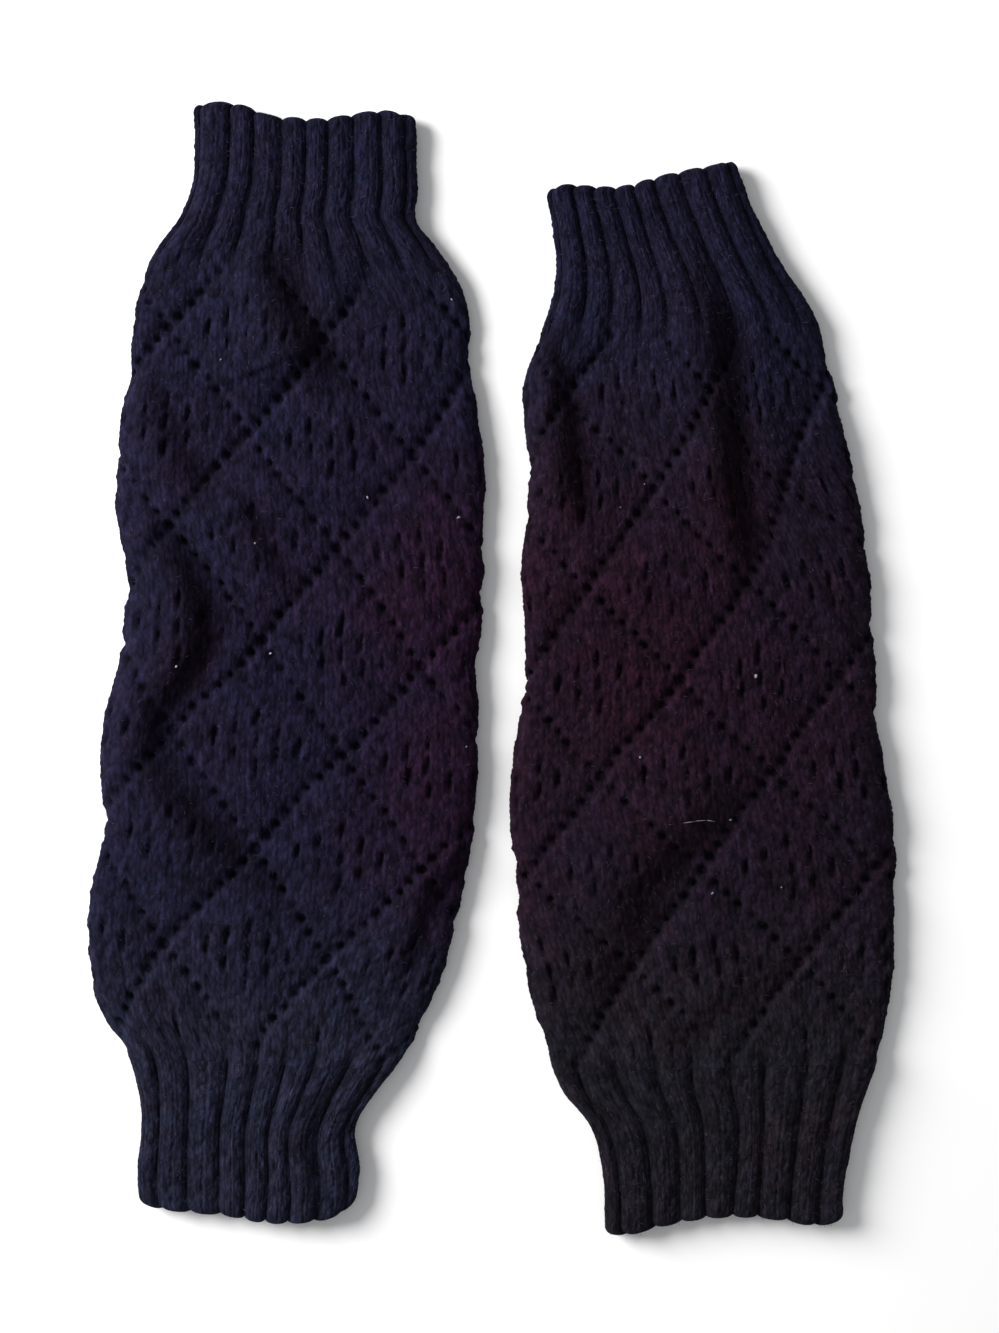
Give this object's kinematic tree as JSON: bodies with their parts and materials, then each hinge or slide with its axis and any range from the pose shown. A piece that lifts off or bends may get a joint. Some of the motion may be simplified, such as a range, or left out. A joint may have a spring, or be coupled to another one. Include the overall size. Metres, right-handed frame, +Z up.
{
  "type": "pair of arm warmers",
  "caption": "Knitted arm warmers laid flat side by side: open lace tubes with an eyelet diamond lattice between ribbed cuffs.",
  "frame": {"origin": "on the surface that the pair lies on, under the middle of the pair", "axes": "+X to the right across the pair, +Y along the tubes towards the upper cuffs, +Z up from the surface"},
  "size_m": [0.2423, 0.34, 0.0122],
  "materials": {
    "navy_lace_knit": "matt, slightly fuzzy navy knit with a plum cast to the right",
    "plum_lace_knit": "matt, slightly fuzzy black knit with a plum cast in the middle",
    "navy_rib_knit": "matt, slightly fuzzy navy rib",
    "black_rib_knit": "matt, slightly fuzzy black rib"
  },
  "bodies": {
    "root": {"left_top_cuff": "navy_rib_knit", "left_body": "navy_lace_knit", "left_bottom_cuff": "navy_rib_knit", "right_top_cuff": "navy_rib_knit", "right_body": "plum_lace_knit", "right_bottom_cuff": "black_rib_knit"}
  },
  "joints": []
}
